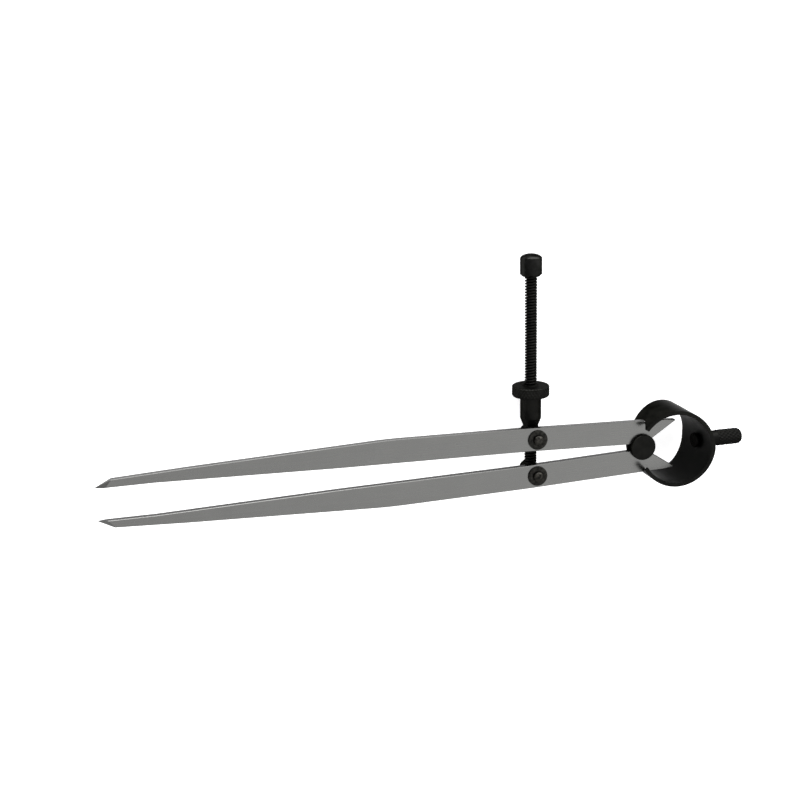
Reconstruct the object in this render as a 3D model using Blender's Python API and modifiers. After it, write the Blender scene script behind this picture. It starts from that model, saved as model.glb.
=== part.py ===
"""Spring dividers of the 300 mm size: two flat pointed legs on a flanged fulcrum roller, held by a bow spring
with a knurled handle, and set by a nut on a cross screw behind the legs.

The dividers lie with the screw underneath. X runs along the line of symmetry towards the handle, Y across the
legs towards the screw's free end, and Z up. The origin is the centre of the fulcrum roller's upper face.
"""

import math

import bmesh
import bpy
from mathutils import Matrix, Vector

# Clearances
FACE_GAP = 0.0002
RUNNING_GAP = 0.00015
SPRING_GAP = 0.0003

# Legs, in the frame of the upper leg with the dividers shut: X away from the points, Y away from the other leg
LEG_LENGTH = 0.3008
LEG_THICKNESS = 0.0035
REST_OPENING = math.radians(1.68)
HEAD_INNER = 0.00175
WAIST_AT = 0.070
WAIST_INNER = 0.0022
WAIST_OUTER = 0.0154
KNEE_AT = 0.148
KNEE_OUTER = 0.0146
KNEE_RADIUS = 0.300
CALF_AT = 0.255
CALF_OUTER = 0.00732
RELIEF_AT = 0.175
RELIEF_INNER = 0.00105
NIB_LENGTH = 0.030
NIB_INNER = 0.00095
POINT_LENGTH = 0.0087
POINT_BREADTH = 0.0044
POINT_GRIND = 0.0030
POINT_FLAT = 0.0003
EDGE_BREAK = 0.00025

# Horns of the legs, inside the bow
HORN_ROOT = 0.0018
HORN_LENGTH = 0.0196
HORN_INNER = 0.0141
HORN_OUTER = 0.01455
HORN_SHOULDER = 0.0130
HORN_SHOULDER_OUTER = 0.0151

# Fulcrum roller
WAIST_RADIUS = 0.0040
ROLLER_RADIUS = 0.00735
ROLLER_FLANGE = 0.0020
ROLLER_CHAMFER = 0.0003

# Bow spring, an oval band whose width falls away from the handle to its ends
BOW_CENTRE = 0.0164
BOW_HALF_LENGTH = 0.0206
BOW_HALF_BREADTH = 0.0222
BOW_THICKNESS = 0.0022
BOW_HALF_WIDTH = 0.0181
BOW_END_HALF_WIDTH = 0.0083
BOW_WIDTH_POWER = 1.17
BOW_END = math.radians(148)
SLOT_START = math.radians(137)
MOUTH_RADIUS = 0.0092
MOUTH_BEYOND = 0.0058
NOTCH_ANGLE = math.radians(133)
SPRING_NOTCH_RADIUS = 0.00205

# Handle
TENON_RADIUS = 0.0025
SHOULDER_RADIUS = 0.0044
SHOULDER_LENGTH = 0.0130
GRIP_RADIUS = 0.00455
GRIP_LENGTH = 0.0121
GRIP_END_RADIUS = 0.0030
RIVET_RADIUS = 0.0043
RIVET_HEIGHT = 0.0017

# Swivel posts, in the frame of the upper leg
POST_ALONG = 0.0630
POST_ACROSS = 0.00866
POST_RADIUS = 0.0054
POST_LENGTH = 0.0123
POST_CHAMFER = 0.0005
NECK_RADIUS = 0.0023
NECK_HEAD_RADIUS = 0.0028
NECK_HEAD_HEIGHT = 0.0022
NUT_SEAT = 0.0044
WASHER_RADIUS = 0.0055
WASHER_THICKNESS = 0.0008

# Adjusting screw, its cap and its nut
SCREW_RADIUS = 0.0034
SCREW_DEPTH = 0.00957
SCREW_LENGTH = 0.12345
SCREW_SWIVEL_GAP = 0.00035
SCREW_CHAMFER = 0.0005
CAP_RADIUS = 0.0060
CAP_LENGTH = 0.0124
CAP_BORE = 0.0084
CAP_DOME = 0.0027
CAP_TAPER = 0.0013
CAP_MOUTH_RADIUS = 0.0046
NUT_END_RADIUS = 0.0043
NUT_END_LENGTH = 0.0019
NUT_TAPER_RADIUS = 0.0046
NUT_TAPER_LENGTH = 0.0033
NUT_HUB_RADIUS = 0.00585
NUT_HUB_LENGTH = 0.0127
NUT_FLANGE_RADIUS = 0.0104
NUT_FLANGE_THICKNESS = 0.0060
NUT_CHAMFER = 0.0005
NUT_BOSS_RADIUS = 0.0044
NUT_BOSS_HEIGHT = 0.0006

# Facets
ROUND_STEPS = 48
BOW_STEPS = 74
ARC_STEPS = 6

# Heights above the middle of the legs' thickness
LEG_FACE = LEG_THICKNESS / 2
FLANGE_UNDERSIDE = LEG_FACE + FACE_GAP
ROLLER_TOP = FLANGE_UNDERSIDE + ROLLER_FLANGE
WASHER_BOTTOM = LEG_FACE + RUNNING_GAP
WASHER_TOP = WASHER_BOTTOM + WASHER_THICKNESS
POST_TOP = -(LEG_FACE + FACE_GAP)


def make_collection(name):
    collection = bpy.data.collections.new(name)
    bpy.context.scene.collection.children.link(collection)
    return collection


def make_material(name, colour, metallic, roughness):
    material = bpy.data.materials.new(name)
    material.use_nodes = True
    shader = material.node_tree.nodes["Principled BSDF"]
    shader.inputs["Base Color"].default_value = (*colour, 1.0)
    shader.inputs["Metallic"].default_value = metallic
    shader.inputs["Roughness"].default_value = roughness
    return material


def add_object(name, mesh, collection, parent, material=None):
    obj = bpy.data.objects.new(name, mesh)
    collection.objects.link(obj)
    obj.parent = parent
    if material:
        mesh.materials.append(material)
    return obj


def shade_round(mesh):
    """Smooth shading on turned surfaces, with their corners kept sharp."""
    mesh.shade_smooth()
    mesh.set_sharp_from_angle(angle=math.radians(35))


def turned(name, profile, collection, parent, material, closed=False):
    """A piece turned about its own Z axis from (radius, height) points that run down its outer side. A closed
    profile makes a ring, and an open one starts and ends on the axis."""
    mesh = bpy.data.meshes.new(name)
    count = len(profile)
    edges = [(i, (i + 1) % count) for i in range(count if closed else count - 1)]
    mesh.from_pydata([(radius, 0.0, height) for radius, height in profile], edges, [])
    obj = add_object(name, mesh, collection, parent, material)
    screw = obj.modifiers.new("Turning", "SCREW")
    screw.steps = ROUND_STEPS
    screw.render_steps = ROUND_STEPS
    screw.use_merge_vertices = True
    screw.merge_threshold = 0.000001
    screw.use_smooth_shade = True
    return obj


def arc(centre, radius, start, end, steps=ARC_STEPS):
    """Points of an arc in a plane, from one angle to another, both included."""
    angles = [start + (end - start) * i / steps for i in range(steps + 1)]
    return [(centre[0] + radius * math.cos(a), centre[1] + radius * math.sin(a)) for a in angles]


def rounded_corner(before, corner, after, radius):
    """Points of the arc that rounds one corner of an outline."""
    corner = Vector(corner)
    to_before = (Vector(before) - corner).normalized()
    to_after = (Vector(after) - corner).normalized()
    half_angle = to_before.angle(to_after) / 2
    reach = radius / math.tan(half_angle)
    centre = corner + (to_before + to_after).normalized() * radius / math.sin(half_angle)
    first = corner + to_before * reach - centre
    last = corner + to_after * reach - centre
    turn = first.angle_signed(last)
    return [
        tuple(centre + Matrix.Rotation(-turn * i / ARC_STEPS, 2) @ first)
        for i in range(ARC_STEPS + 1)
    ]


def add_cutter(name, mesh, parent, location, rotation):
    obj = add_object(name, mesh, CUTTERS, parent)
    obj.location = location
    obj.rotation_euler = rotation
    obj.hide_render = True
    obj.display_type = "WIRE"
    return obj


def cylinder_cutter(name, radius, length, parent, location, rotation=(0.0, 0.0, 0.0)):
    mesh = bpy.data.meshes.new(name)
    solid = bmesh.new()
    bmesh.ops.create_cone(
        solid, cap_ends=True, segments=ROUND_STEPS, radius1=radius, radius2=radius, depth=length
    )
    solid.to_mesh(mesh)
    solid.free()
    return add_cutter(name, mesh, parent, location, rotation)


def box_cutter(name, size, parent, location, rotation=(0.0, 0.0, 0.0)):
    mesh = bpy.data.meshes.new(name)
    solid = bmesh.new()
    bmesh.ops.create_cube(solid, size=1.0, matrix=Matrix.Diagonal((*size, 1.0)))
    solid.to_mesh(mesh)
    solid.free()
    return add_cutter(name, mesh, parent, location, rotation)


def cut(obj, *cutters):
    for cutter in cutters:
        boolean = obj.modifiers.new(cutter.name, "BOOLEAN")
        boolean.operation = "DIFFERENCE"
        boolean.object = cutter


def bow_point(angle, from_middle=0.0):
    """A point of the bow's oval at this angle from the handle, on its middle surface or off it by from_middle."""
    half_length = BOW_HALF_LENGTH - BOW_THICKNESS / 2 + from_middle
    half_breadth = BOW_HALF_BREADTH - BOW_THICKNESS / 2 + from_middle
    return Vector((BOW_CENTRE + half_length * math.cos(angle), half_breadth * math.sin(angle)))


def bow_direction(angle):
    """The band's direction at this angle, away from the handle."""
    step = math.radians(0.5)
    return (bow_point(angle + step) - bow_point(angle - step)).normalized()


def bow_half_width(angle):
    """Half the band's width: widest at the handle, narrow at the ends."""
    share = (abs(angle) / BOW_END) ** BOW_WIDTH_POWER
    return BOW_HALF_WIDTH - (BOW_HALF_WIDTH - BOW_END_HALF_WIDTH) * share


def to_rest(point, side):
    """A point of the upper leg's shut frame, moved to where it lies at rest, on the upper or the lower leg."""
    turned_point = Matrix.Rotation(-REST_OPENING, 2) @ Vector(point)
    return Vector((turned_point.x, side * turned_point.y))


def to_leg(point):
    """A point of the dividers at rest, in the upper leg's shut frame."""
    return Matrix.Rotation(REST_OPENING, 2) @ Vector(point)


def leg_outline():
    """The upper leg's outline, from its point along the inner edge, round the horn and back."""
    knee = (-KNEE_AT, KNEE_OUTER)
    calf = (-CALF_AT, CALF_OUTER)
    waist_outer = (-WAIST_AT, WAIST_OUTER)
    point_back = (POINT_LENGTH - LEG_LENGTH, POINT_BREADTH)
    inner = [
        (-LEG_LENGTH, 0.0),
        (NIB_LENGTH - LEG_LENGTH, NIB_INNER),
        (-RELIEF_AT, RELIEF_INNER),
        (-WAIST_AT, WAIST_INNER),
    ]
    horn = [
        (HORN_ROOT, HEAD_INNER),
        (HORN_LENGTH, HORN_INNER),
        (HORN_LENGTH, HORN_OUTER),
        (HORN_SHOULDER, HORN_SHOULDER_OUTER),
    ]
    outer = rounded_corner(waist_outer, knee, calf, KNEE_RADIUS)
    return inner + horn + [waist_outer] + outer + [calf, point_back]


def extruded(name, outline, thickness):
    """A mesh of a flat outline, half its thickness above and half below the plane of the outline."""
    curve = bpy.data.curves.new(name, "CURVE")
    curve.dimensions = "2D"
    curve.fill_mode = "BOTH"
    curve.extrude = thickness / 2
    spline = curve.splines.new("POLY")
    spline.points.add(len(outline) - 1)
    for point, (x, y) in zip(spline.points, outline):
        point.co = (x, y, 0.0, 1.0)
    spline.use_cyclic_u = True
    guide = bpy.data.objects.new(name, curve)
    bpy.context.scene.collection.objects.link(guide)
    graph = bpy.context.evaluated_depsgraph_get()
    mesh = bpy.data.meshes.new_from_object(guide.evaluated_get(graph))
    bpy.data.objects.remove(guide)
    bpy.data.curves.remove(curve)
    return mesh


def break_edges(solid, width):
    """Takes the sharpness off the long edges of both faces, up to the point's own end cut."""
    last = POINT_LENGTH - LEG_LENGTH
    edges = [
        edge
        for edge in solid.edges
        if abs(edge.verts[0].co.z - edge.verts[1].co.z) < LEG_FACE
        and len(edge.link_faces) == 2
        and edge.calc_face_angle(0.0) > math.radians(60)
        and max(vert.co.x for vert in edge.verts) > last + FACE_GAP
    ]
    bmesh.ops.bevel(
        solid, geom=edges, offset=width, segments=1, affect="EDGES", clamp_overlap=False
    )


def grind(solid, on_plane, normal):
    """Takes away all that lies outside a plane, as a grinding wheel does, and closes the face."""
    everything = solid.verts[:] + solid.edges[:] + solid.faces[:]
    cut_result = bmesh.ops.bisect_plane(
        solid,
        geom=everything,
        dist=0.0000001,
        plane_co=on_plane,
        plane_no=normal,
        clear_outer=True,
    )
    rim = [item for item in cut_result["geom_cut"] if isinstance(item, bmesh.types.BMEdge)]
    bmesh.ops.holes_fill(solid, edges=rim)


def add_leg(name, side, parent, material):
    """A leg: flat bar with its notches and hole, broken edges, and a point ground from both faces."""
    mesh = extruded(name, leg_outline(), LEG_THICKNESS)
    solid = bmesh.new()
    solid.from_mesh(mesh)
    bmesh.ops.remove_doubles(solid, verts=solid.verts, dist=0.000001)
    bmesh.ops.dissolve_limit(solid, angle_limit=0.0005, verts=solid.verts, edges=solid.edges)
    break_edges(solid, EDGE_BREAK)
    back = Vector((POINT_LENGTH - LEG_LENGTH, POINT_BREADTH, LEG_FACE))
    inner = Vector((POINT_LENGTH - POINT_GRIND - LEG_LENGTH, 0.0, LEG_FACE))
    apex = Vector((-LEG_LENGTH - POINT_FLAT, 0.0, 0.0))
    normal = (inner - apex).cross(back - apex).normalized()
    for up in (1, -1):
        flip = Vector((1, 1, up))
        grind(solid, apex * flip, normal * flip if normal.z > 0 else -normal * flip)
    bmesh.ops.transform(solid, matrix=Matrix.Diagonal((1, side, 1, 1)), verts=solid.verts)
    bmesh.ops.recalc_face_normals(solid, faces=solid.faces)
    solid.to_mesh(mesh)
    solid.free()
    leg = add_object(name, mesh, PARTS, parent, material)
    leg.rotation_euler.z = -side * REST_OPENING
    depth = 3 * LEG_THICKNESS
    seat = to_leg(bow_point(NOTCH_ANGLE))
    edge = HORN_SHOULDER_OUTER + (seat.x - HORN_SHOULDER) * (
        (WAIST_OUTER - HORN_SHOULDER_OUTER) / (-WAIST_AT - HORN_SHOULDER)
    )
    cut(
        leg,
        cylinder_cutter(f"{name}_fulcrum_notch", WAIST_RADIUS + RUNNING_GAP, depth, leg, (0, 0, 0)),
        cylinder_cutter(
            f"{name}_spring_notch", SPRING_NOTCH_RADIUS, depth, leg, (seat.x, side * edge, 0)
        ),
        cylinder_cutter(
            f"{name}_post_hole",
            NECK_RADIUS + RUNNING_GAP,
            depth,
            leg,
            (-POST_ALONG, side * POST_ACROSS, 0),
        ),
    )
    return leg


def add_bow_spring(parent, material):
    """The bow: one curved band, forked at both ends to straddle the legs, with a hole for the handle."""
    name = "bow_spring"
    surface = bmesh.new()
    rows = []
    for i in range(BOW_STEPS + 1):
        angle = BOW_END * (2 * i / BOW_STEPS - 1)
        x, y = bow_point(angle)
        half_width = bow_half_width(angle)
        rows.append([surface.verts.new((x, y, share * half_width)) for share in (-1, 0, 1)])
    for lower, upper in zip(rows, rows[1:]):
        for j in range(2):
            surface.faces.new((lower[j], upper[j], upper[j + 1], lower[j + 1]))
    mesh = bpy.data.meshes.new(name)
    surface.to_mesh(mesh)
    surface.free()
    bow = add_object(name, mesh, PARTS, parent, material)
    shell = bow.modifiers.new("Band", "SOLIDIFY")
    shell.thickness = BOW_THICKNESS
    shell.offset = 0.0
    shell.use_even_offset = True
    slot_length = 4 * BOW_THICKNESS + BOW_HALF_BREADTH * (BOW_END - SLOT_START)
    slot_size = (slot_length, 3 * BOW_THICKNESS, LEG_THICKNESS + 2 * SPRING_GAP)
    for side, end in ((1, "upper"), (-1, "lower")):
        along = bow_direction(SLOT_START)
        slot = bow_point(SLOT_START) + along * slot_length / 2
        slot_turn = (0.0, 0.0, math.atan2(side * along.y, along.x))
        along = bow_direction(BOW_END)
        mouth = bow_point(BOW_END) + along * MOUTH_BEYOND
        mouth_turn = (math.pi / 2, 0.0, math.atan2(side * along.y, along.x))
        cut(
            bow,
            box_cutter(f"{end}_slot", slot_size, bow, (slot.x, side * slot.y, 0.0), slot_turn),
            cylinder_cutter(
                f"{end}_mouth",
                MOUTH_RADIUS,
                4 * BOW_THICKNESS,
                bow,
                (mouth.x, side * mouth.y, 0.0),
                mouth_turn,
            ),
        )
    cut(
        bow,
        cylinder_cutter(
            "tenon_hole",
            TENON_RADIUS + RUNNING_GAP,
            4 * BOW_THICKNESS,
            bow,
            (*bow_point(0.0), 0.0),
            (0.0, math.pi / 2, 0.0),
        ),
    )
    return bow


def add_handle(parent, material):
    """The handle: a shoulder and a grip outside the bow, a tenon through it and a riveted head inside."""
    inner_length = BOW_HALF_LENGTH - BOW_THICKNESS
    inner_breadth = BOW_HALF_BREADTH - BOW_THICKNESS
    seat_share = math.sqrt(1 - (RIVET_RADIUS / inner_breadth) ** 2)
    outside = FACE_GAP
    inside = inner_length * seat_share - BOW_HALF_LENGTH - FACE_GAP
    grip_start = outside + SHOULDER_LENGTH
    end = grip_start + GRIP_LENGTH
    corner = (GRIP_RADIUS - GRIP_END_RADIUS, end - GRIP_END_RADIUS)
    profile = [(0.0, end)]
    profile += arc(corner, GRIP_END_RADIUS, math.pi / 2, 0.0)
    profile += [
        (GRIP_RADIUS, grip_start),
        (SHOULDER_RADIUS, grip_start),
        (SHOULDER_RADIUS, outside),
        (TENON_RADIUS, outside),
        (TENON_RADIUS, inside),
        (RIVET_RADIUS, inside),
        (RIVET_RADIUS, inside - RIVET_HEIGHT / 2),
        (RIVET_RADIUS - RIVET_HEIGHT / 2, inside - RIVET_HEIGHT),
        (0.0, inside - RIVET_HEIGHT),
    ]
    handle = turned("handle", profile, PARTS, parent, material)
    handle.location.x = BOW_CENTRE + BOW_HALF_LENGTH
    handle.rotation_euler.y = math.pi / 2
    return handle


def add_fulcrum_roller(parent, material):
    """The roller between the legs: a waist in their half-round notches and a flange over each face."""
    half = [
        (ROLLER_RADIUS - ROLLER_CHAMFER, ROLLER_TOP),
        (ROLLER_RADIUS, ROLLER_TOP - ROLLER_CHAMFER),
        (ROLLER_RADIUS, FLANGE_UNDERSIDE),
        (WAIST_RADIUS, FLANGE_UNDERSIDE),
    ]
    mirrored = [(radius, -height) for radius, height in reversed(half)]
    profile = [(0.0, ROLLER_TOP), *half, *mirrored, (0.0, -ROLLER_TOP)]
    return turned("fulcrum_roller", profile, PARTS, parent, material)


def add_swivel_post(name, side, parent, material):
    """A post behind a leg: body, neck through the leg and its washer, and the neck's riveted end."""
    head_bottom = WASHER_TOP + RUNNING_GAP
    head_top = head_bottom + NECK_HEAD_HEIGHT
    crown = NECK_HEAD_HEIGHT / 3
    post_bottom = POST_TOP - POST_LENGTH
    profile = [
        (0.0, head_top),
        (NECK_HEAD_RADIUS - 2 * crown, head_top - crown / 4),
        (NECK_HEAD_RADIUS - crown / 2, head_top - crown),
        (NECK_HEAD_RADIUS, head_top - 2 * crown),
        (NECK_HEAD_RADIUS, head_bottom),
        (NECK_RADIUS, head_bottom),
        (NECK_RADIUS, POST_TOP),
        (POST_RADIUS, POST_TOP),
        (POST_RADIUS, post_bottom + POST_CHAMFER),
        (POST_RADIUS - POST_CHAMFER, post_bottom),
        (0.0, post_bottom),
    ]
    post = turned(name, profile, PARTS, parent, material)
    post.location.xy = to_rest((-POST_ALONG, POST_ACROSS), side)
    swivels = side > 0
    bore = SCREW_RADIUS + (SCREW_SWIVEL_GAP if swivels else RUNNING_GAP)
    across = (math.pi / 2, 0.0, 0.0)
    height = -SCREW_DEPTH
    cut(post, cylinder_cutter(f"{name}_bore", bore, 4 * POST_RADIUS, post, (0, 0, height), across))
    if swivels:
        seat_size = (4 * POST_RADIUS, POST_RADIUS, 2 * NUT_END_RADIUS + 2 * FACE_GAP)
        seat_middle = (0, NUT_SEAT + POST_RADIUS / 2, height)
        cut(post, box_cutter(f"{name}_nut_seat", seat_size, post, seat_middle))
    return post


def add_washer(name, side, parent, material):
    bore = NECK_RADIUS + RUNNING_GAP
    profile = [
        (WASHER_RADIUS, WASHER_TOP),
        (WASHER_RADIUS, WASHER_BOTTOM),
        (bore, WASHER_BOTTOM),
        (bore, WASHER_TOP),
    ]
    washer = turned(name, profile, PARTS, parent, material, closed=True)
    washer.location.xy = to_rest((-POST_ALONG, POST_ACROSS), side)
    return washer


def stand_on_screw(obj, along):
    """Puts a turned piece on the screw's axis, its own axis along Y, so far from the line of symmetry."""
    post = to_rest((-POST_ALONG, POST_ACROSS), 1)
    obj.location = (post.x, along, -SCREW_DEPTH)
    obj.rotation_euler.x = -math.pi / 2
    return obj


def screw_start():
    """Where the screw's fixed end lies, just inside the lower post."""
    return to_rest((-POST_ALONG, POST_ACROSS), -1).y - POST_RADIUS + SCREW_CHAMFER


def add_adjusting_screw(parent, material):
    profile = [
        (0.0, SCREW_LENGTH),
        (SCREW_RADIUS - SCREW_CHAMFER, SCREW_LENGTH),
        (SCREW_RADIUS, SCREW_LENGTH - SCREW_CHAMFER),
        (SCREW_RADIUS, SCREW_CHAMFER),
        (SCREW_RADIUS - SCREW_CHAMFER, 0.0),
        (0.0, 0.0),
    ]
    screw = turned("adjusting_screw", profile, PARTS, parent, material)
    return stand_on_screw(screw, screw_start())


def add_screw_cap(parent, material):
    """The cap on the screw's free end: domed, with a tapered mouth and a blind bore."""
    bore = SCREW_RADIUS + RUNNING_GAP
    dome_base = CAP_LENGTH - CAP_DOME
    dome = [
        (CAP_RADIUS * math.sin(a), dome_base + CAP_DOME * math.cos(a))
        for a in (math.pi / 2 * i / ARC_STEPS for i in range(ARC_STEPS + 1))
    ]
    profile = dome + [
        (CAP_RADIUS, CAP_TAPER),
        (CAP_MOUTH_RADIUS, 0.0),
        (bore, 0.0),
        (bore, CAP_BORE + FACE_GAP),
        (0.0, CAP_BORE + FACE_GAP),
    ]
    cap = turned("screw_cap", profile, PARTS, parent, material)
    return stand_on_screw(cap, screw_start() + SCREW_LENGTH - CAP_BORE)


def add_adjusting_nut(parent, material):
    """The nut: an end that bears on the upper post, a taper, a long hub, a wide flange and a low boss."""
    bore = SCREW_RADIUS + RUNNING_GAP
    taper = NUT_END_LENGTH
    hub = taper + NUT_TAPER_LENGTH
    flange = hub + NUT_HUB_LENGTH
    top = flange + NUT_FLANGE_THICKNESS
    profile = [
        (NUT_BOSS_RADIUS, top + NUT_BOSS_HEIGHT),
        (NUT_BOSS_RADIUS, top),
        (NUT_FLANGE_RADIUS - NUT_CHAMFER, top),
        (NUT_FLANGE_RADIUS, top - NUT_CHAMFER),
        (NUT_FLANGE_RADIUS, flange + NUT_CHAMFER),
        (NUT_FLANGE_RADIUS - NUT_CHAMFER, flange),
        (NUT_HUB_RADIUS, flange),
        (NUT_HUB_RADIUS, hub),
        (NUT_TAPER_RADIUS, taper),
        (NUT_END_RADIUS, taper - NUT_END_LENGTH / 4),
        (NUT_END_RADIUS, 0.0),
        (bore, 0.0),
        (bore, top + NUT_BOSS_HEIGHT),
    ]
    nut = turned("adjusting_nut", profile, PARTS, parent, material, closed=True)
    post = to_rest((-POST_ALONG, POST_ACROSS), 1)
    return stand_on_screw(nut, post.y + NUT_SEAT + FACE_GAP)


def main():
    leg_plane = bpy.data.objects.new("leg_plane", None)
    leg_plane.location.z = -ROLLER_TOP
    PARTS.objects.link(leg_plane)

    bright_steel = make_material("ground_steel", (0.42, 0.42, 0.42), 1.0, 0.45)
    black_steel = make_material("blackened_steel", (0.022, 0.022, 0.021), 0.6, 0.50)

    add_bow_spring(leg_plane, make_material("blackened_spring", (0.020, 0.020, 0.019), 0.6, 0.45))
    add_handle(leg_plane, black_steel)
    add_fulcrum_roller(leg_plane, black_steel.copy())
    for side, which in ((1, "upper"), (-1, "lower")):
        add_leg(f"leg_{which}", side, leg_plane, bright_steel.copy())
        add_swivel_post(f"swivel_post_{which}", side, leg_plane, black_steel.copy())
        add_washer(f"washer_{which}", side, leg_plane, black_steel.copy())
    add_adjusting_screw(leg_plane, black_steel.copy())
    add_screw_cap(leg_plane, black_steel.copy())
    add_adjusting_nut(leg_plane, black_steel.copy())


for leftover in list(bpy.data.objects):
    bpy.data.objects.remove(leftover)
PARTS = make_collection("spring_dividers")
CUTTERS = make_collection("cutters")
main()
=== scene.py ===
import math

import bmesh
import bpy
from mathutils import Matrix, Vector


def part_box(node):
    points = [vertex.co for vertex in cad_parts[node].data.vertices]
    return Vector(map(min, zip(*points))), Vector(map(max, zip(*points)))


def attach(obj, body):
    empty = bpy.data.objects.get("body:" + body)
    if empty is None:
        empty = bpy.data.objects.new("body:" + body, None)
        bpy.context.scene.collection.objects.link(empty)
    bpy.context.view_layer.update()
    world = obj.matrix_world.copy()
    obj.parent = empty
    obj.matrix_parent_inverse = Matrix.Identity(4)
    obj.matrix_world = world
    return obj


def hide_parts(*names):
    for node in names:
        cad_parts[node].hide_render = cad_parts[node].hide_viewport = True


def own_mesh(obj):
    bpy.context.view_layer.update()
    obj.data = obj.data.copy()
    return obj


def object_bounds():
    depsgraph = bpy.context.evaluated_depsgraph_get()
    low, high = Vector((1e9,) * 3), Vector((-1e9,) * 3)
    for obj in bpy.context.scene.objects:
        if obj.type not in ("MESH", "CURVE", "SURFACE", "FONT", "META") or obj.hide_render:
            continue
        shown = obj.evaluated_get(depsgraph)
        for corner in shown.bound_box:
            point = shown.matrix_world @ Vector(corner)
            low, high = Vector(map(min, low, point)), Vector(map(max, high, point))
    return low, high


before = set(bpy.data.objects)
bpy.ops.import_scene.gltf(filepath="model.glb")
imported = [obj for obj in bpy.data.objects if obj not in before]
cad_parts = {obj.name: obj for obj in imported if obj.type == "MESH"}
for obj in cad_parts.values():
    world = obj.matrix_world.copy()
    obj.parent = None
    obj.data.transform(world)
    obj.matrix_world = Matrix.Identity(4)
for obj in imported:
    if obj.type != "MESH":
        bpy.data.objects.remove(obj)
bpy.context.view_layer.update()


# The camera stands where the photographer did, over the points' side of the dividers, and looks down on them.
# Its place comes from the outlines of the legs, the ring and the screw, and it sees 800 pixels each way.
CAMERA_PLACE = Vector((-0.28789, 0.21099, 0.59083))
CAMERA_RIGHT = Vector((0.9683, -0.0258, 0.24857))
CAMERA_UP = Vector((0.09092, 0.96291, -0.25402))
SENSOR_WIDTH = 36.0
LENS = 54.0


def add_object(name, data):
    """A new object of the scene with this data."""
    added = bpy.data.objects.new(name, data)
    bpy.context.scene.collection.objects.link(added)
    return added


camera_data = bpy.data.cameras.new("camera")
camera_data.sensor_width = SENSOR_WIDTH
camera_data.lens = LENS
camera_data.clip_start = 0.01
camera_data.clip_end = 20.0
camera = add_object("camera", camera_data)
right = CAMERA_RIGHT.normalized()
up = (CAMERA_UP - right * CAMERA_UP.dot(right)).normalized()
turn = Matrix((right, up, right.cross(up))).transposed().to_4x4()
camera.matrix_world = Matrix.Translation(CAMERA_PLACE) @ turn
bpy.context.scene.camera = camera
bpy.context.scene.view_settings.view_transform = "Standard"


# The table is a plain pale sheet. The camera sees it as white, with a soft shadow close under the dividers,
# which lie on the rims of the nut and of the ring and on the point of one leg. Metal mirrors it as nearly
# white.
def linear(hex_colour):
    """A colour written as sRGB hex, as the linear red, green, blue and alpha of a shader."""
    parts = [int(hex_colour[i : i + 2], 16) / 255 for i in (1, 3, 5)]
    return tuple(c / 12.92 if c <= 0.04045 else ((c + 0.055) / 1.055) ** 2.4 for c in parts) + (1.0,)


def add_node(tree, kind, settings=None, **inputs):
    """Adds a node with its settings. Each input is a value or the socket that feeds it. It is named after
    its socket, with _ for a space, or it is i and the socket's number."""
    node = tree.nodes.new(kind)
    for key, value in (settings or {}).items():
        setattr(node, key, value)
    for key, value in inputs.items():
        by_number = key[0] == "i" and key[1:].isdigit()
        socket = node.inputs[int(key[1:])] if by_number else node.inputs[key.replace("_", " ")]
        if isinstance(value, bpy.types.NodeSocket):
            tree.links.new(value, socket)
        else:
            socket.default_value = value
    return node


def new_material(name):
    """An empty material, its node tree and its output node."""
    material = bpy.data.materials.new(name)
    material.use_nodes = True
    material.node_tree.nodes.clear()
    return material, material.node_tree, add_node(material.node_tree, "ShaderNodeOutputMaterial")


FLOOR_GAP = 0.0002
FLOOR_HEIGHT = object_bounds()[0].z - FLOOR_GAP
FLOOR_SIZE = 8.0
FLOOR_ALBEDO = 0.95
FLOOR_GLOW = 0.60
FLOOR_GLOSS_GLOW = 0.05
WHITE = (1.0, 1.0, 1.0, 1.0)

table_paper, tree, out = new_material("table_paper")
path = add_node(tree, "ShaderNodeLightPath")
seen = add_node(
    tree,
    "ShaderNodeMath",
    {"operation": "MULTIPLY"},
    i0=path.outputs["Is Camera Ray"],
    i1=FLOOR_GLOW,
)
mirrored = add_node(
    tree,
    "ShaderNodeMath",
    {"operation": "MAXIMUM"},
    i0=path.outputs["Is Glossy Ray"],
    i1=path.outputs["Is Transmission Ray"],
)
glow = add_node(
    tree,
    "ShaderNodeMath",
    {"operation": "MULTIPLY_ADD"},
    i0=mirrored.outputs[0],
    i1=FLOOR_GLOSS_GLOW,
    i2=seen.outputs[0],
)
paper = add_node(tree, "ShaderNodeBsdfDiffuse", Color=(FLOOR_ALBEDO,) * 3 + (1.0,))
light = add_node(tree, "ShaderNodeEmission", Color=WHITE, Strength=glow.outputs[0])
both = add_node(tree, "ShaderNodeAddShader", i0=paper.outputs[0], i1=light.outputs[0])
tree.links.new(both.outputs[0], out.inputs["Surface"])

floor_mesh = bpy.data.meshes.new("table")
half = FLOOR_SIZE / 2
floor_corners = [(half * x, half * y, FLOOR_HEIGHT) for x, y in ((-1, -1), (1, -1), (1, 1), (-1, 1))]
floor_mesh.from_pydata(floor_corners, [], [(0, 1, 2, 3)])
floor_mesh.materials.append(table_paper)
floor = add_object("table", floor_mesh)


# Plain studio light: a pale room that is a little brighter on the handle's side, one large soft box high on
# the far side, and a long low one behind the screw.
ROOM_LIGHT = 1.0
ROOM_SEEN = 0.90
ROOM_SLOPE = 0.42

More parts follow.
